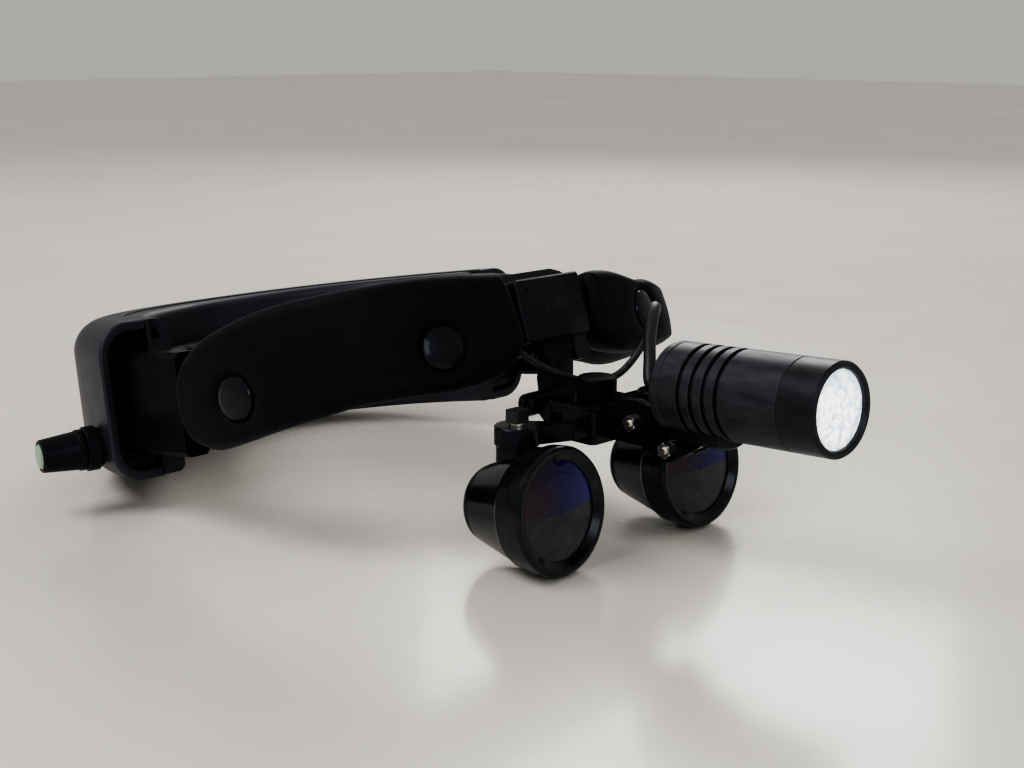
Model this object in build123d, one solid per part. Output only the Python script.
from build123d import *
import math
import os

# Dental loupes on a head ring: battery housing behind the head, soft side pads,
# a height post and tilt hinge at the forehead, two oculars on a rack and pinion
# spacing bridge, and a lamp on a two-joint arm.  Millimetres, +Z up.
#
# Row frame: X is the wearer's left, -Y is forward, the lowest points rest on z = 0.
# The origin is where the centre line of the head opening meets the resting surface.
# Ring frame: centred in the head opening and leaning back with the ring.
# Rear frame: the same for the housing, which leans less and sits lower.
# Bench frame: the row frame shifted along Y; holds the bridge, oculars and lamp.

os.makedirs("parts", exist_ok=True)

# ================================================================ driving dimensions
TILT = 19.37                    # backward lean of the ring, degrees
RING_Y, RING_Z = 15.12, 43.0    # centre of the head opening, row frame
BENCH_Y = 47.32                 # bench frame origin, row frame

# Outer pad line: half width, half depth and squareness of the oval
RING_A, RING_B, RING_N = 85.8, 74.0, 2.77
PAD_DEPTH = 9.1                 # outer cushion
INNER_PAD_T = 3.6
PAD_TOP, PAD_BOTTOM = 14.9, -16.6
BAND_D0, BAND_D1 = 9.3, 11.1    # band faces, measured inwards from the outer pad line
BAND_H = 24.0
BUTTON_SPOTS = ((43.3, -69.8), (84.3, -26.0))   # x, y on the wearer's left
BUTTON_Z = -5.7
BUTTON_HOLE_R = 2.1

BOX_W, BOX_H = 27.3, 18.5
BOX_FRONT, BOX_BACK = -71.2, -64.9
COVER_T = 1.2
POST_W, POST_Y0, POST_Y1 = 12.0, -70.5, -65.9
HINGE_Y, HINGE_Z, HINGE_R = -65.5, -26.3, 3.4   # tilt hinge, ring frame

REAR_TILT = 8.5
REAR_DZ = -3.5                  # housing centre line below the ring centre
HOUSE_A, HOUSE_B, HOUSE_N = 91.5, 113.3, 2.3
HALF_H = 49.0 / 2               # half height of the housing
MOUTH_Y = 33.0                  # front plane of the housing
HOUSE_MID, HOUSE_IN = 16.5, 24.0    # depths of the shell-cover joint and inner face
WALL = 3.0

STRAP_X0, STRAP_X1, STRAP_HALF_H = 74.9, 83.4, 15.4
STRAP_BEVEL = 1.5
STRAP_FIT = 0.05                # clearance around the strap in its guide

IPD_HALF = 30.7                 # half the distance between the oculars
M2_R, M2_HOLE_R, M2_FLATS, M2_NUT_H = 1.0, 1.05, 4.0, 1.6

# ================================================================ frames
RING = Location((0, RING_Y, RING_Z), (-TILT, 0, 0))
REAR = Location((0, RING_Y, RING_Z), (-REAR_TILT, 0, 0)) * Location((0, 0, REAR_DZ))
BENCH = Location((0, BENCH_Y, 0))


def ring_to_row(x, y, z):
    c, s = math.cos(math.radians(TILT)), math.sin(math.radians(TILT))
    return (x, y * c + z * s + RING_Y, -y * s + z * c + RING_Z)


def bench_to_row(x, y, z):
    return (x, y + BENCH_Y, z)


# ================================================================ helpers
def save(name, *shapes, frame=None):
    """Write the solids of the shapes as one STEP file, placed in the row frame."""
    solids = [solid for shape in shapes for solid in shape.solids()]
    if frame is not None:
        solids = [solid.moved(frame) for solid in solids]
    out = solids[0] if len(solids) == 1 else Compound(children=solids)
    export_step(out, "parts/" + name + ".step")


def mirror_x(shape):
    return mirror(shape, about=Plane.YZ)


def save_pair(name, shape, frame):
    """Save the shape and its mirror image in one file."""
    save(name, shape.solids()[0], mirror_x(shape).solids()[0], frame=frame)


def largest(shape):
    return max(shape.solids(), key=lambda solid: solid.volume)


def shifted(point, direction, distance):
    return tuple(p + d * distance for p, d in zip(point, direction))


def polygon(points):
    return make_face(Polyline(*points, close=True))


def slab(sketch, z0, z1):
    return extrude(Pos(0, 0, z0) * sketch, amount=z1 - z0)


def yz_prism(points, x0, x1):
    """Polygon of (y, z) points extruded from x0 to x1."""
    plane = Plane(origin=(x0, 0, 0), x_dir=(0, 1, 0), z_dir=(1, 0, 0))
    return extrude(plane * polygon(points), amount=x1 - x0)


def block(x0, x1, y0, y1, z0, z1):
    return Pos((x0 + x1) / 2, (y0 + y1) / 2, (z0 + z1) / 2) * Box(x1 - x0, y1 - y0, z1 - z0)


def rod(start, axis, radius, length):
    """Cylinder starting at a point and running along axis."""
    return extrude(Plane(origin=start, z_dir=axis) * Circle(radius), amount=length)


def x_rod(yz, radius, x0, x1):
    return rod((x0, *yz), (1, 0, 0), radius, x1 - x0)


def y_rod(xz, radius, y0, y1):
    return rod((xz[0], y0, xz[1]), (0, 1, 0), radius, y1 - y0)


def z_rod(xy, radius, z0, z1):
    return rod((*xy, z0), (0, 0, 1), radius, z1 - z0)


def seat_rod(seat, radius, start, end):
    """Cylinder along the normal of a (point, outward normal) seat."""
    point, normal = seat
    return rod(shifted(point, normal, start), normal, radius, end - start)


def turned(profile, origin, z_dir):
    """Solid of revolution: profile is (radius, distance) pairs about z_dir from origin."""
    body = revolve(polygon([(r, 0, z) for r, z in profile]), axis=Axis.Z)
    return body.moved(Plane(origin=origin, z_dir=z_dir).location)


def hexagon(across_flats):
    return RegularPolygon(radius=across_flats / math.sqrt(3), side_count=6)


def chamfer_rims(cylinder, size):
    return chamfer(cylinder.edges().filter_by(GeomType.CIRCLE), size)


def safe_fillet(shape, edges, radius):
    """Fillet with the largest share of the radius that the curved edges accept."""
    for share in (1.0, 0.7, 0.45, 0.25):
        # guards against fillets that the kernel can't build on the spline walls
        try:
            out = fillet(edges, radius * share)
            if out.is_valid and out.volume > 0:
                return out
        except Exception:
            pass
    return shape


def oval_points(a, b, n, start, end, steps):
    """Points on a squared oval; 0 degrees is the front, 90 the wearer's left."""
    def signed_power(v):
        v = 0.0 if abs(v) < 1e-9 else v
        return math.copysign(abs(v) ** (2 / n), v)

    angles = [math.radians(start + (end - start) * i / steps) for i in range(steps + 1)]
    return [(a * signed_power(math.sin(t)), -b * signed_power(math.cos(t))) for t in angles]


def oval_strip(d0, d1, start, end, steps, a=RING_A, b=RING_B, n=RING_N):
    """Face between two inward offsets of an oval, from start to end degrees."""
    outer = oval_points(a - d0, b - d0, n, start, end, steps)
    inner = oval_points(a - d1, b - d1, n, start, end, steps)
    with BuildSketch() as sketch:
        with BuildLine():
            Spline(*outer)
            Line(outer[-1], inner[-1])
            Spline(*reversed(inner))
            Line(inner[0], outer[0])
        make_face()
    return sketch.sketch


def front_angle(depth, x):
    """Angle in degrees at which the ring oval, offset inwards by depth, reaches x."""
    return math.degrees(math.asin(min(1.0, (x / (RING_A - depth)) ** (RING_N / 2))))


def oval_normal(x, y, a, b, n):
    nx = (abs(x) / a) ** (n - 1) / a
    ny = (abs(y) / b) ** (n - 1) / b
    length = math.hypot(nx, ny)
    return (math.copysign(nx / length, x), math.copysign(ny / length, y), 0)


# ================================================================ head band (ring frame)
# Snap buttons as (point, outward normal) seats; right side first, front before side
BUTTONS = [((side * x, y, BUTTON_Z), oval_normal(side * x, y, RING_A, RING_B, RING_N))
           for side in (-1, 1) for x, y in BUTTON_SPOTS]
LEFT_BUTTONS = BUTTONS[2:]
BOX_SCREWS = [(x, z) for x in (-10.4, 10.4) for z in (-5.6, 5.6)]
BOX_SCREW_HOLE_R = 1.1

band = slab(oval_strip(BAND_D0, BAND_D1, -88.5, 88.5, 40), -BAND_H / 2, BAND_H / 2)
for button in BUTTONS:
    band -= seat_rod(button, BUTTON_HOLE_R, -14, 2)
for xz in BOX_SCREWS:
    band -= y_rod(xz, BOX_SCREW_HOLE_R, -70, -58)
save("headband_strip", band, frame=RING)


def strap():
    """Left strap: a block that slides in the housing, joined to a lug on the band."""
    body = block(STRAP_X0, STRAP_X1, 1.6, MOUTH_Y + 3.0, -STRAP_HALF_H, STRAP_HALF_H)
    body = chamfer(body.edges().filter_by(Axis.Y), STRAP_BEVEL)
    tongue = block(STRAP_X0, 76.8, MOUTH_Y + 2.9, MOUTH_Y + 25.0, -13.0, 13.0)
    rear_part = (body + tongue).moved(REAR)

    lug = slab(oval_strip(BAND_D1 + 0.05, BAND_D1 + 1.9, 64, 89.4, 8), -10, 10)
    front_part = lug + block(73.1, 76.4, -3.2, 6.0, -10, 10)
    front_part -= seat_rod(LEFT_BUTTONS[1], BUTTON_HOLE_R, -16, 2)
    # pocket for the end of the band
    inside = slab(oval_strip(BAND_D1 + 0.03, 20, 60, 89.9, 8), -13, 13)
    front_part -= block(74.0, 77.2, -9, -1.0, -12.2, 12.2) - inside
    return front_part.moved(RING) + rear_part


left_strap = strap()
save("left_strap", left_strap)
save("right_strap", mirror_x(left_strap))

# (x, z) outline: front end slopes outwards at the top, lower corner cut back
PAD_FRONT = [(19.6, PAD_TOP + 1), (15.6, -9.5), (17.5, -14.2), (23.0, PAD_BOTTOM - 1),
             (100, PAD_BOTTOM - 1), (100, PAD_TOP + 1)]
# (y, z) outlines: stepped curves round off the rear ends
PAD_SIDE = [(-90, -20), (-14, -20), (-14, -16.6), (-7.5, -14.4), (-3.2, -10.0), (-1.5, -4.0),
            (-1.5, 3.0), (-3.6, 8.8), (-8.2, 13.0), (-15.5, 14.9), (-15.5, 20), (-90, 20)]
INNER_PAD_SIDE = [(-90, -20), (-12, -20), (-12, -14.0), (-5.5, -11.8), (-1.5, -6.0),
                  (-1.5, 5.0), (-5.5, 10.8), (-12, 13.0), (-12, 20), (-90, 20)]


def outer_pad():
    start = front_angle(0, 15.5)
    pad = slab(oval_strip(0, PAD_DEPTH, start, 88.6, 16), PAD_BOTTOM, PAD_TOP)
    plane = Plane(origin=(0, -90, 0), x_dir=(1, 0, 0), z_dir=(0, -1, 0))
    pad = pad & extrude(plane * polygon(PAD_FRONT), amount=-100)
    pad = pad & yz_prism(PAD_SIDE, 0, 100)
    for button in LEFT_BUTTONS:
        pad -= seat_rod(button, BUTTON_HOLE_R, -17, 3)
        pad -= seat_rod(button, 6.55, -1.6, 3)
    return pad


def inner_pad():
    depth = BAND_D1 + 2.3
    start = front_angle(BAND_D1, 29.5)
    pad = slab(oval_strip(depth, depth + INNER_PAD_T, start, 88.8, 14), -14.0, 13.0)
    return pad & yz_prism(INNER_PAD_SIDE, 0, 100)


left_pad = outer_pad()
save("left_side_pad", left_pad, frame=RING)
save("right_side_pad", mirror_x(left_pad), frame=RING)
save_pair("temple_pads", inner_pad(), RING)

end = front_angle(14, 26.5)
save("forehead_pad", slab(oval_strip(14.2, 19.4, -end, end, 16), -12.0, 12.6), frame=RING)

# Snap button: domed head (radius, distance) with a stem that runs inwards
BUTTON_DOME = [(0, 0), (6.25, 0), (6.25, 0.9), (5.9, 1.35), (4.6, 1.75), (2.4, 2.02), (0, 2.1)]
HEAD_SINK = 1.55                # underside of the head, below the outer pad line


def snap_button(seat):
    point, normal = seat
    dome = turned(BUTTON_DOME, shifted(point, normal, -HEAD_SINK), normal)
    return dome + seat_rod(seat, 2.0, -HEAD_SINK - 11.2, -HEAD_SINK + 0.1)


save("pad_snap_buttons", *[snap_button(button) for button in BUTTONS], frame=RING)

# ================================================================ mount box (ring frame)
CORNER_R = 1.2
COVER_BACK = BOX_FRONT - 0.05
COVER_FRONT = COVER_BACK - COVER_T
POST_FIT = 0.05

mount_box = block(-BOX_W / 2, BOX_W / 2, BOX_FRONT, BOX_BACK, -BOX_H / 2, BOX_H / 2)
mount_box = fillet(mount_box.edges().filter_by(Axis.Y), CORNER_R)
mount_box -= block(-POST_W / 2 - POST_FIT, POST_W / 2 + POST_FIT,
                   POST_Y0 - POST_FIT, POST_Y1 + POST_FIT, -12, 12)
tab = block(6.3, 12.3, -70.9, -67.6, -BOX_H / 2 - 7.4, -BOX_H / 2 + 0.2)
mount_box += fillet(tab.edges().filter_by(Axis.Y), 0.9)
for xz in BOX_SCREWS:
    mount_box -= y_rod(xz, 0.85, BOX_BACK - 5.1, BOX_BACK + 0.1)
save("mount_box", mount_box, frame=RING)

# Cover with a small raised plate in front and one fine hole
cover = block(-BOX_W / 2, BOX_W / 2, COVER_FRONT, COVER_BACK, -BOX_H / 2, BOX_H / 2)
cover = fillet(cover.edges().filter_by(Axis.Y), CORNER_R)
cover = chamfer(cover.faces().sort_by(Axis.Y)[0].edges(), 0.5)
plate = block(-3.6, 2.6, COVER_FRONT - 0.3, BOX_FRONT - COVER_T, -1.8, 1.8)
cover += chamfer(plate.faces().sort_by(Axis.Y)[0].edges(), 0.2)
cover -= y_rod((-9.2, 6.0), 0.45, -80, -71.4)
save("mount_box_cover", cover, frame=RING)

end = front_angle(12, 13.4)
back_plate = slab(oval_strip(BAND_D1 + 0.05, BAND_D1 + 1.6, -end, end, 8),
                  -BOX_H / 2, BOX_H / 2)
for xz in BOX_SCREWS:
    back_plate -= y_rod(xz, BOX_SCREW_HOLE_R, -66, -58)
save("mount_back_plate", back_plate, frame=RING)


def box_screw(x, z):
    """Screw with a cross recess, driven forward from inside the band."""
    seat_y = -RING_B + BAND_D1 + 1.86
    screw = y_rod((x, z), 1.85, seat_y, seat_y + 0.8)
    screw += y_rod((x, z), 0.8, seat_y - 6.95, seat_y + 0.05)
    for half_x, half_z in ((1.3, 0.2), (0.2, 1.3)):
        screw -= block(x - half_x, x + half_x, seat_y + 0.35, seat_y + 1.5,
                       z - half_z, z + half_z)
    return screw


save("mount_box_screws", *[box_screw(x, z) for x, z in BOX_SCREWS], frame=RING)

# Height post with its hinge knuckle
HINGE = (HINGE_Y, HINGE_Z)
KNUCKLE_HALF_W = 4.9
# (y, z) outline between the post and the knuckle
POST_FOOT = [(POST_Y0, -13.4), (POST_Y0, -16.0), (-69.0, -20.5),
             (HINGE_Y - HINGE_R + 0.4, HINGE_Z + 0.6), (HINGE_Y + HINGE_R - 0.3, HINGE_Z + 0.8),
             (-63.6, -19.0), (POST_Y1, -15.5), (POST_Y1, -13.4)]

post = block(-POST_W / 2, POST_W / 2, POST_Y0, POST_Y1, -13.5, 8.4)
for i in range(9):      # notches on the back face
    z = 6.0 - i * 2.0
    post -= yz_prism([(POST_Y1 + 0.1, z - 0.5), (POST_Y1 + 0.1, z + 0.5), (POST_Y1 - 0.5, z)],
                     -3.2, 3.2)
post = post + yz_prism(POST_FOOT, -KNUCKLE_HALF_W, KNUCKLE_HALF_W)
post += x_rod(HINGE, HINGE_R, -KNUCKLE_HALF_W, KNUCKLE_HALF_W)
post -= x_rod(HINGE, 1.55, -7, 7)
save("slide_post", post, frame=RING)

# ================================================================ bridge (bench frame)
HY = ring_to_row(0, HINGE_Y, HINGE_Z)[1] - BENCH_Y      # tilt hinge, bench frame
HZ = ring_to_row(0, HINGE_Y, HINGE_Z)[2]
KNOB_X, KNOB_Y = KNOB = (0.0, -117.7)   # axis of the spacing knob and pinion
MODULE, TEETH = 0.6, 12
PITCH = math.pi * MODULE
PITCH_R = MODULE * TEETH / 2
PRESSURE_ANGLE = math.radians(20)
ADDENDUM, DEDENDUM = 0.38, 0.6
GEAR_Z0, GEAR_Z1 = 34.2, 39.1
RACK_Z0 = 34.45

BODY_HALF_W = 11.5
BODY_Y0, BODY_Y1, BODY_Z0, BODY_Z1 = -126.6, -108.9, 33.2, 41.0
BODY_CORNER_R = 2.0
WELL_TOP = 39.25                # ceiling of the rack channels and the pinion well
CHANNEL_DEPTH = 7.4             # outer side of each channel, from the knob axis
EAR_X = ((-12.0, -5.05), (5.05, 12.0))      # ears of the tilt hinge
FORK_X = ((-5.9, -3.06), (3.06, 5.9))       # cheeks on either side of the lamp arm
PIVOT_1 = (-136.0, 39.3)        # lamp arm pivots, (y, z)
PIVOT_2 = (-148.6, 33.9)
EAR_WEB = [(HY - 2.6, HZ - 2.2), (BODY_Y1 - 1.0, BODY_Z0 + 0.6), (BODY_Y1 - 1.0, BODY_Z1 - 0.3),
           (HY - 2.9, HZ + 1.7), (HY, HZ + 0.5), (HY, HZ - 0.5)]
CHEEK = [(BODY_Y0 + 1.0, 33.2), (-140.2, 33.2), (-142.4, 34.6), (-143.2, 37.4), (-142.7, 41.6),
         (-140.6, 44.6), (-137.4, 46.0), (-131.5, 45.4), (-127.5, 43.6), (BODY_Y0 + 1.0, 41.0)]


def body_slab(z0, z1):
    plate = block(-BODY_HALF_W, BODY_HALF_W, BODY_Y0, BODY_Y1, z0, z1)
    return fillet(plate.edges().filter_by(Axis.Z), BODY_CORNER_R)


bridge = body_slab(BODY_Z0, BODY_Z1)
for x0, x1 in EAR_X:
    ear = x_rod((HY, HZ), HINGE_R, x0, x1)
    bridge += ear + yz_prism(EAR_WEB, max(x0, -11.4), min(x1, 11.4))
for x0, x1 in FORK_X:
    bridge += yz_prism(CHEEK, x0, x1)
bridge -= x_rod((HY, HZ), 1.52, -12.5, 12.5)
bridge -= x_rod(PIVOT_1, M2_HOLE_R, -7, 7)
# channels for the racks and the well for the pinion, open underneath
channel_in = PITCH_R - ADDENDUM - 0.05
bridge -= block(-14, 14, KNOB_Y - CHANNEL_DEPTH, KNOB_Y - channel_in, BODY_Z0 - 1, WELL_TOP)
bridge -= block(-14, 14, KNOB_Y + channel_in, KNOB_Y + CHANNEL_DEPTH, BODY_Z0 - 1, WELL_TOP)
bridge -= z_rod(KNOB, PITCH_R + ADDENDUM + 0.15, BODY_Z0 - 1, WELL_TOP)
bridge -= z_rod(KNOB, 1.65, 38, 43)
save("bridge_body", bridge, frame=BENCH)

bottom_plate = body_slab(BODY_Z0 - 1.35, BODY_Z0 - 0.05) - z_rod(KNOB, 1.25, 30, 35)
save("bridge_bottom_plate", bottom_plate, frame=BENCH)

# Top plate, tapered at the front, with a notch between the cheeks
TOP_OUTLINE = [(-11.3, -109.4), (-11.3, -121.5), (-7.6, -125.6),
               (7.6, -125.6), (11.3, -121.5), (11.3, -109.4)]
top_plate = slab(polygon(TOP_OUTLINE), BODY_Z1 + 0.03, BODY_Z1 + 1.13)
top_plate -= z_rod(KNOB, 1.66, 40, 45)
top_plate -= block(-6.1, 6.1, -127, -124.0, 40, 44)
save("bridge_top_plate", top_plate, frame=BENCH)


def pinion_outline(backlash=0.10):
    """Involute teeth, cut shallow, as (x, y) points around the origin."""
    base_r = PITCH_R * math.cos(PRESSURE_ANGLE)
    tip_r, root_r = PITCH_R + ADDENDUM, PITCH_R - DEDENDUM

    def involute(r):
        return math.tan(math.acos(base_r / r)) - math.acos(base_r / r) if r > base_r else 0.0

    half = (PITCH / 2 - backlash) / 2 / PITCH_R + involute(PITCH_R)
    flank = [(root_r, half + 0.01)]     # radius, half angle of the tooth
    for k in range(5):
        r = base_r + (tip_r - base_r) * k / 4
        flank.append((r, half - involute(r)))
    points = []
    for i in range(TEETH):
        centre = 2 * math.pi * i / TEETH
        polar = [(r, centre - a) for r, a in flank]
        polar += [(r, centre + a) for r, a in reversed(flank)]
        points += [(r * math.cos(a), r * math.sin(a)) for r, a in polar]
    return points


pinion = slab(polygon(pinion_outline()), 0, GEAR_Z1 - GEAR_Z0).rotate(Axis.Z, 90)
pinion = Pos(KNOB_X, KNOB_Y, GEAR_Z0) * pinion
pinion = pinion + z_rod(KNOB, 1.2, 32.4, 34.4) + z_rod(KNOB, 1.6, 39.0, 47.6)
save("spacing_pinion", pinion, frame=BENCH)

KNOB_Z0, KNOB_Z1 = 42.2, 48.8
KNOB_GROOVES = 28
knob = chamfer_rims(z_rod(KNOB, 5.75, KNOB_Z0, KNOB_Z1), 0.5)
for i in range(KNOB_GROOVES):
    a = 2 * math.pi * i / KNOB_GROOVES
    centre = (KNOB_X + 5.95 * math.cos(a), KNOB_Y + 5.95 * math.sin(a))
    knob -= z_rod(centre, 0.42, KNOB_Z0 + 0.5, KNOB_Z1 - 0.5)
knob -= z_rod(KNOB, 1.62, 41, 47.65)
save("spacing_knob", knob, frame=BENCH)

# ================================================================ spacing arms (bench frame)
BOSS_Y, BOSS_R = -115.6, 6.4
BAR_T = 3.05                    # rack bar behind the tooth roots
RACK_REACH = 6.9                # teeth lie within this distance of the centre
RACK_PHASE = PITCH / 2


def rack_teeth(pitch_y, face):
    """Outlines of the teeth; the roots sink 0.02 into the bar."""
    slope = math.tan(PRESSURE_ANGLE)
    half = PITCH / 4 - 0.05
    root, tip = half + DEDENDUM * slope, half - ADDENDUM * slope
    root_y, tip_y = pitch_y - face * (DEDENDUM + 0.02), pitch_y + face * ADDENDUM
    first = math.ceil((-RACK_REACH - RACK_PHASE) / PITCH)
    last = math.floor((RACK_REACH - RACK_PHASE) / PITCH)
    centres = [RACK_PHASE + k * PITCH for k in range(first, last + 1)]
    return [[(x - root, root_y), (x + root, root_y), (x + tip, tip_y), (x - tip, tip_y)]
            for x in centres]


def spacing_arm(side, face):
    """Rack bar, web and ocular boss.

    side: -1 is the wearer's right; face: direction in Y of the tooth tips.
    """
    pitch_y = KNOB_Y - face * PITCH_R
    root_y = pitch_y - face * DEDENDUM
    y0, y1 = sorted((root_y, root_y - face * BAR_T))
    x0, x1 = sorted((side * 17.5, -side * 7.6))
    bar = block(x0, x1, y0, y1, RACK_Z0, GEAR_Z1)
    for tooth in rack_teeth(pitch_y, face):
        bar += slab(polygon(tooth), RACK_Z0, GEAR_Z1)
    boss_x = side * IPD_HALF
    boss = chamfer_rims(z_rod((boss_x, BOSS_Y), BOSS_R, 33.95, 39.5), 0.35)
    web = [(side * 16.4, y0), (side * 16.4, y1), (side * 27.0, BOSS_Y + 5.3),
           (boss_x, BOSS_Y + 6.3), (boss_x, BOSS_Y - 6.3), (side * 27.0, BOSS_Y - 5.3)]
    arm = bar + boss + slab(polygon(web), GEAR_Z0, GEAR_Z1)
    return arm - z_rod((boss_x, BOSS_Y), 2.05, 30, 42)


save("right_arm", spacing_arm(-1, 1), frame=BENCH)
save("left_arm", spacing_arm(1, -1), frame=BENCH)

# Tilt hinge screw with a slotted head at the wearer's right
HEAD_X = -12.06
head = chamfer_rims(x_rod((HY, HZ), 3.3, HEAD_X - 1.9, HEAD_X), 0.35)
head -= Pos(-13.9, HY, HZ) * (Rot(20, 0, 0) * Box(1.6, 0.9, 7.5))
save("tilt_hinge_screw", x_rod((HY, HZ), 1.5, HEAD_X, HEAD_X + 24.0) + head, frame=BENCH)

# ================================================================ oculars (bench frame)
OCULAR_Y, OCULAR_Z = -133.4, 18.42      # centre of the front rim
OCULAR_UP, OCULAR_TOE = math.radians(6.81), math.radians(1.65)
# (radius, distance) profiles, measured backwards from the front rim
OCULAR_PROFILES = {
    "bezel": [(16.9, 0), (17.55, 0.35), (17.95, 1.0), (18.0, 1.6), (18.0, 4.5), (17.5, 5.2),
              (14.7, 5.2), (14.7, 1.75), (14.0, 1.75), (14.0, 1.5), (15.9, 0.15)],
    "objective_lens": [(0, 1.15), (5, 1.25), (10, 1.55), (13.9, 1.95), (14.6, 2.0),
                       (14.6, 5.0), (8, 4.6), (0, 4.4)],
    "barrel": [(17.0, 5.26), (17.1, 5.6), (17.1, 9.4), (16.7, 9.9), (16.3, 10.6),
               (11.75, 25.2), (11.3, 25.6), (9.5, 25.6), (9.5, 21.5), (13.4, 9.2),
               (13.8, 8.6), (13.8, 5.26)],
    "eyepiece_ring": [(9.5, 25.68), (10.9, 25.68), (10.9, 27.4), (10.3, 28.3), (9.1, 28.3),
                      (8.4, 27.3), (8.4, 26.7), (9.5, 26.7)],
    "eyepiece_lens": [(0, 23.0), (6, 23.3), (9.4, 23.8), (9.4, 26.6), (5, 26.2), (0, 26.05)],
}
# barrel with a small clearance, filled, for cutting the stem
BARREL_ENVELOPE = [(0, 5.2), (17.13, 5.2), (17.13, 9.42), (16.75, 9.92), (16.34, 10.62),
                   (11.79, 25.22), (11.34, 25.62), (0, 25.62)]


def ocular_stem(x, envelope):
    """Neck from the barrel up to the arm boss, with the pivot pin."""
    neck = Pos(x, BOSS_Y, 28.5) * Box(9.6, 10.4, 12.0)
    neck = fillet(neck.edges().filter_by(Axis.Z), 3.0)
    neck = neck - block(x - 20, x + 20, BOSS_Y - 20, BOSS_Y + 20, 33.88, 60)
    neck = neck - envelope
    # the part above the barrel
    neck = max(neck.solids(), key=lambda solid: solid.bounding_box().max.Z)
    return neck + z_rod((x, BOSS_Y), 2.0, 33.8, 43.4)


def ocular(side, name):
    back = (side * math.sin(OCULAR_TOE) * math.cos(OCULAR_UP),
            math.cos(OCULAR_TOE) * math.cos(OCULAR_UP), -math.sin(OCULAR_UP))
    x = side * IPD_HALF
    origin = (x, OCULAR_Y, OCULAR_Z)
    for part, profile in OCULAR_PROFILES.items():
        save(f"{name}_{part}", turned(profile, origin, back), frame=BENCH)
    save(name + "_stem", ocular_stem(x, turned(BARREL_ENVELOPE, origin, back)), frame=BENCH)
    pin = (x, BOSS_Y)
    washer = z_rod(pin, 2.7, 39.56, 40.41) - z_rod(pin, 2.03, 39, 42)
    nut = Pos(x, BOSS_Y, 42.15) * Box(5.6, 4.8, 3.4)
    nut = chamfer(nut.edges().filter_by(Axis.Z), 0.7)
    nut -= z_rod(pin, 2.02, 40, 43.42)
    save(name + "_pivot_nut", nut, washer, frame=BENCH)


ocular(-1, "right_ocular")
ocular(1, "left_ocular")

# ================================================================ lamp arm (bench frame)
LINK_R, LINK_HALF_W = 3.3, 3.0


def bar_between(start, end, radius, x0, x1):
    """Bar in the Y-Z plane with a round boss at each (y, z) end."""
    length = math.hypot(end[0] - start[0], end[1] - start[1])
    half = radius * 0.8
    dy = -(end[1] - start[1]) / length * half
    dz = (end[0] - start[0]) / length * half
    middle = yz_prism([(start[0] + dy, start[1] + dz), (end[0] + dy, end[1] + dz),
                       (end[0] - dy, end[1] - dz), (start[0] - dy, start[1] - dz)], x0, x1)
    return middle + x_rod(start, radius, x0, x1) + x_rod(end, radius, x0, x1)


link = bar_between(PIVOT_1, PIVOT_2, LINK_R, -LINK_HALF_W, LINK_HALF_W)
for pivot in (PIVOT_1, PIVOT_2):
    link -= x_rod(pivot, M2_HOLE_R, -4, 4)
save("lamp_arm_link", link, frame=BENCH)

BOLT_SEAT_X = 5.98              # seats of the bolt head (+x) and the nut (-x)
NUT_TURN = 0.35                 # radians
NUT_ENVELOPE = [(0, -0.1), (2.6, -0.1), (2.6, M2_NUT_H - 0.35), (2.05, M2_NUT_H), (0, M2_NUT_H)]


def bolt_and_nut(pivot, name):
    bolt = x_rod(pivot, M2_R, BOLT_SEAT_X - 14.2, BOLT_SEAT_X)
    bolt += x_rod(pivot, 1.9, BOLT_SEAT_X, BOLT_SEAT_X + 1.7)
    bolt -= extrude(Plane(origin=(8.0, *pivot), z_dir=(-1, 0, 0)) * hexagon(1.5), amount=1.2)
    seat = (-BOLT_SEAT_X, *pivot)
    plane = Plane(origin=seat, x_dir=(0, math.cos(NUT_TURN), math.sin(NUT_TURN)),
                  z_dir=(-1, 0, 0))
    nut = extrude(plane * hexagon(M2_FLATS), amount=M2_NUT_H)
    nut = nut & turned(NUT_ENVELOPE, seat, (-1, 0, 0))
    nut -= x_rod(pivot, M2_R + 0.02, -9, -5)
    save(name, bolt, nut, frame=BENCH)


bolt_and_nut(PIVOT_1, "lamp_arm_bolt")
bolt_and_nut(PIVOT_2, "lamp_tilt_bolt")

# ================================================================ lamp (bench frame)
LAMP_Y, LAMP_Z = -146.9, 50.7           # centre of the rear face
LAMP_UP, LAMP_YAW = math.radians(2.89), math.radians(-2.25)
LAMP_ORIGIN = (0, LAMP_Y, LAMP_Z)
LAMP_DIR = (math.sin(LAMP_YAW) * math.cos(LAMP_UP),
            -math.cos(LAMP_YAW) * math.cos(LAMP_UP), math.sin(LAMP_UP))

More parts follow.
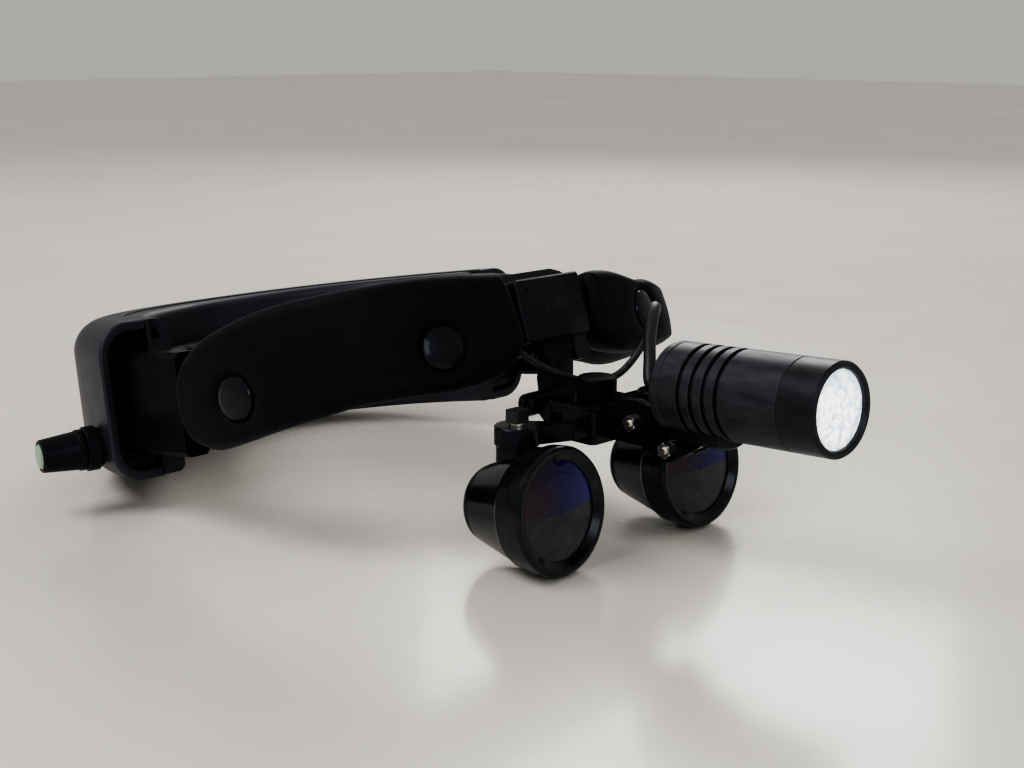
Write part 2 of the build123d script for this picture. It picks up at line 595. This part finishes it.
# (radius, distance) profiles, measured forwards from the rear face
body_profile = [(12.2, 3.05), (12.5, 3.35)]
for i in range(4):              # grooves around the body
    s = 9.6 + i * 4.2
    body_profile += [(12.5, s), (12.3, s + 0.15), (11.35, s + 0.15),
                     (11.35, s + 1.65), (12.3, s + 1.65), (12.5, s + 1.8)]
body_profile += [(12.5, 42.0), (12.25, 42.3), (10.3, 42.3), (10.3, 3.05)]
LAMP_PROFILES = {
    "rear_cap": [(2.2, 0), (11.6, 0), (12.3, 0.4), (12.5, 1.0), (12.5, 2.7), (12.2, 3.0),
                 (10.6, 3.0), (10.6, 1.8), (2.2, 1.8)],
    "body": body_profile,
    "bezel": [(12.25, 42.36), (12.5, 42.65), (12.5, 53.2), (12.0, 53.9), (11.0, 53.9),
              (10.45, 53.3), (10.45, 51.9), (11.3, 51.9), (11.3, 42.36)],
    "lens": [(0, 53.2), (6, 53.0), (10.35, 52.5), (10.35, 51.85), (11.2, 51.85),
             (11.2, 50.6), (0, 50.6)],
    "reflector": [(3.0, 36.0), (4.2, 36.0), (7.6, 40.5), (9.9, 46.0), (11.0, 50.5),
                  (11.2, 50.5), (11.2, 48.0), (10.9, 44.0), (10.2, 42.5), (10.2, 35.4),
                  (3.0, 35.4)],
    "led_module": [(0, 35.35), (2.9, 35.35), (2.9, 36.1), (1.6, 36.1), (1.45, 36.7), (0, 37.0)],
    "strain_relief": [(1.35, -7.2), (2.1, -7.2), (2.1, -2.4), (2.9, -1.2), (2.9, -0.06),
                      (2.1, -0.06), (2.1, 3.2), (1.35, 3.2)],
}


def lamp_turned(profile):
    return turned(profile, LAMP_ORIGIN, LAMP_DIR)


for part, profile in LAMP_PROFILES.items():
    save("lamp_" + part, lamp_turned(profile), frame=BENCH)

heat_sink = lamp_turned([(0, 14.0), (10.22, 14.0), (10.22, 35.3), (0, 35.3)])
heat_sink -= lamp_turned([(0, 13), (6.5, 13), (6.5, 30.5), (0, 30.5)])
save("lamp_heat_sink", heat_sink, frame=BENCH)

# Saddle that carries the lamp, with two ears on the tilt pivot
SADDLE_RING = [(12.58, 0.3), (14.6, 0.3), (15.1, 0.8), (15.1, 19.2), (14.6, 19.7), (12.58, 19.7)]
LAMP_ENVELOPE = [(0, -5), (12.56, -5), (12.56, 60), (0, 60)]
SADDLE_WEB = [(PIVOT_2[0] + 3.2, PIVOT_2[1] + 1.2), (PIVOT_2[0] + 1.1, 38.0), (-162.0, 38.8),
              (-158.5, 35.9), (PIVOT_2[0] - 2.4, PIVOT_2[1] - 2.4)]


def saddle_ear(x0, x1):
    return x_rod(PIVOT_2, 3.4, x0, x1) + yz_prism(SADDLE_WEB, x0, x1)


under_lamp = block(-7.5, 7.5, LAMP_Y - 30, LAMP_Y + 10, 30.5, 42.0)
saddle = (lamp_turned(SADDLE_RING) & under_lamp).solids()[0]
saddle = saddle + (saddle_ear(*FORK_X[0]) + saddle_ear(*FORK_X[1]))
saddle = saddle - lamp_turned(LAMP_ENVELOPE) - block(-3.1, 3.1, -153.4, -140, 30, 39)
saddle = saddle - x_rod(PIVOT_2, M2_HOLE_R, -8, 8)
save("lamp_saddle", saddle, frame=BENCH)

# ================================================================ housing (rear frame)
def house_solid(d0, d1, z0, z1, y_min=MOUTH_Y):
    """Slice of the housing between two inward offsets, cut square at y_min."""
    strip = oval_strip(d0, d1, 92, 268, 30, HOUSE_A, HOUSE_B, HOUSE_N)
    return slab(strip, z0, z1) & block(-120, 120, y_min, 140, z0 - 1, z1 + 1)


def round_rims(shape, half_height, min_length, radius, longest=True):
    """Fillet the two longest, or two shortest, edges over min_length at +-half_height."""
    edges = [e for e in shape.edges()
             if abs(abs(e.center().Z) - half_height) < 0.01 and e.length > min_length]
    edges = sorted(edges, key=lambda e: e.length, reverse=longest)[:2]
    return safe_fillet(shape, edges, radius)


def house_seat(side, y, z):
    """Point on the outer wall with its outward normal."""
    x = side * HOUSE_A * (1 - (y / HOUSE_B) ** HOUSE_N) ** (1 / HOUSE_N)
    return (x, y, z), oval_normal(x, y, HOUSE_A, HOUSE_B, HOUSE_N)


DIMMER = house_seat(-1, 44.0, -13.0)    # on the wearer's right
SOCKET = house_seat(1, 74.0, -8.0)      # on the wearer's left

shell = house_solid(0, HOUSE_MID, -HALF_H, HALF_H)
shell = round_rims(shell, HALF_H, 130, 10.5)
cavity_h = HALF_H - WALL
cavity = house_solid(WALL, HOUSE_MID + 3, -cavity_h, cavity_h, MOUTH_Y - 4)
shell = shell - round_rims(cavity, cavity_h, 140, 7.5)
mouth_edges = [e for e in shell.edges()
               if abs(e.center().Y - MOUTH_Y) < 0.01 and e.bounding_box().size.Y < 0.01]
shell = safe_fillet(shell, mouth_edges, 0.8)
shell -= seat_rod(DIMMER, 3.25, -8, 6)
shell -= seat_rod(SOCKET, 4.05, -12, 4)
shell = largest(shell)
save("rear_housing_shell", shell, frame=REAR)

# Cover on the head side, hollowed out, with a slot at the top of each mouth
cover_h = HALF_H - 0.4
house_cover = house_solid(HOUSE_MID + 0.06, HOUSE_IN, -cover_h, cover_h)
house_cover = round_rims(house_cover, cover_h, 100, 2.5, longest=False)
house_cover -= house_solid(HOUSE_MID - 2, HOUSE_IN - 2.6, -HALF_H + 3.2, HALF_H - 3.2,
                           MOUTH_Y + 2.2)
for x0 in (-70.6, 67.4):
    house_cover -= block(x0, x0 + 3.2, MOUTH_Y - 1, MOUTH_Y + 4.6, HALF_H - 6.6, HALF_H + 1)
house_cover = largest(house_cover)
save("rear_housing_cover", house_cover, frame=REAR)


def strap_guide():
    """Left liner in the mouth of the housing, in which the strap slides."""
    guide = block(72.9, 91.1, MOUTH_Y + 1.6, MOUTH_Y + 4.4, -20.2, 20.2)
    limit_h = HALF_H - WALL - 0.1
    limit = house_solid(WALL + 0.1, HOUSE_MID + 3.4, -limit_h, limit_h, MOUTH_Y + 1)
    limit = round_rims(limit, limit_h, 140, 7.4)
    guide = largest(guide & limit & block(0, 120, 0, 60, -30, 30))
    hole_h = STRAP_HALF_H + STRAP_FIT
    hole = block(STRAP_X0 - STRAP_FIT, STRAP_X1 + STRAP_FIT, MOUTH_Y, MOUTH_Y + 9,
                 -hole_h, hole_h)
    guide -= chamfer(hole.edges().filter_by(Axis.Y), STRAP_BEVEL)
    # shallow recess around the strap, on the front side
    guide = guide - block(73, 85.6, MOUTH_Y, MOUTH_Y + 2.6, -17.4, 17.4)
    return largest(guide - house_cover)


save_pair("strap_guides", strap_guide(), REAR)

save("rear_pad", house_solid(HOUSE_IN + 0.1, HOUSE_IN + 6.5, -15.5, 15.5, 56.0), frame=REAR)


def battery_cell(x):
    cell = block(x - 19.5, x + 19.5, 93.0, 100.6, -16, 16)
    return fillet(cell.edges().filter_by(Axis.X), 2.2)


save("battery_cells", battery_cell(-20.5), battery_cell(20.5), frame=REAR)

# ================================================================ dimmer and socket (rear frame)
BOARD_SIZE = 7.6


def dimmer_square(start, thickness):
    """Square plate across the dimmer axis, thickened inwards."""
    point, normal = DIMMER
    plane = Plane(origin=shifted(point, normal, start), z_dir=normal)
    return extrude(plane * Rectangle(BOARD_SIZE, BOARD_SIZE), amount=-thickness)


save("control_board", dimmer_square(-7.4, 1.4), frame=REAR)

control = dimmer_square(-4.2, 3.1) + seat_rod(DIMMER, 3.2, -4.3, -0.2)
control -= seat_rod(DIMMER, 1.53, -5.7, 2.3)
save("dimmer_control", control, frame=REAR)

socket = seat_rod(SOCKET, 4.0, -9.4, -0.2) + seat_rod(SOCKET, 5.2, -0.2, 0.55)
socket -= seat_rod(SOCKET, 1.75, -8.2, 3.8)
save("charge_socket", largest(socket - shell), frame=REAR)

# Collar around the spindle, its base trimmed to the curve of the shell
collar = chamfer_rims(seat_rod(DIMMER, 6.9, 0.9, 5.1), 0.5)
base = seat_rod(DIMMER, 6.0, -2.6, 1.0) - seat_rod(DIMMER, 3.3, -3.6, 8.4)
base = base - house_solid(-0.05, HOUSE_MID, -HALF_H, HALF_H)
collar = (collar + base) - seat_rod(DIMMER, 3.3, -4, 10)
save("dimmer_collar", largest(collar), frame=REAR)

# Knob with its spindle; (radius, distance) profiles from the outer wall
DIMMER_KNOB = [(0, 5.4), (6.1, 5.4), (6.35, 5.8), (6.35, 7.0), (6.0, 7.4), (5.05, 18.0),
               (4.7, 18.4), (3.9, 18.4), (3.9, 16.6), (0, 16.6)]
LIGHT_CAP = [(0, 16.66), (3.85, 16.66), (3.85, 18.3), (3.3, 18.95), (0, 19.15)]
DIMMER_GROOVES = 18

dimmer_knob = turned(DIMMER_KNOB, *DIMMER)
dimmer_plane = Plane(origin=DIMMER[0], z_dir=DIMMER[1])
for i in range(DIMMER_GROOVES):
    a = 2 * math.pi * i / DIMMER_GROOVES
    start, end = [dimmer_plane.from_local_coords((r * math.cos(a), r * math.sin(a), z))
                  for r, z in ((6.35, 8.6), (5.45, 17.4))]
    run = end - start
    dimmer_knob -= rod((start.X, start.Y, start.Z), (run.X, run.Y, run.Z), 0.5, run.length)
dimmer_knob = dimmer_knob + seat_rod(DIMMER, 1.5, -5.6, 5.6)
save("dimmer_knob", dimmer_knob, frame=REAR)
save("knob_light_cap", turned(LIGHT_CAP, *DIMMER), frame=REAR)

# ================================================================ lamp cable (row frame)
# Centre line points, ring frame
CABLE = [(-12.8, -67.6, -10.6), (-10.8, -68.8, -13.8), (-6.5, -72.2, -18.6), (0, -74.3, -22.6),
         (6.5, -77.0, -24.4), (12.5, -80.6, -23.4), (18.3, -84.8, -18.2), (21.6, -88.2, -11.6)]
SLEEVE = [(21.9, -88.6, -11.0), (21.5, -90.6, -8.3), (19.4, -93.4, -7.6),
          (15.0, -95.3, -9.6), (9.2, -97.2, -15.6), (4.0, -99.6, -21.8)]
# the sleeve ends behind the lamp, bench frame
SLEEVE_END = [(0.6, LAMP_Y + 9.6, LAMP_Z + 1.0), shifted(LAMP_ORIGIN, LAMP_DIR, -8.5)]


def swept(points, radius):
    path = Spline(*points)
    return sweep(Plane(origin=path @ 0, z_dir=path % 0) * Circle(radius), path=path)


save("lamp_cable", swept([ring_to_row(*p) for p in CABLE], 1.05))
sleeve_points = [ring_to_row(*p) for p in SLEEVE] + [bench_to_row(*p) for p in SLEEVE_END]
save("lamp_cable_sleeve", swept(sleeve_points, 1.75))
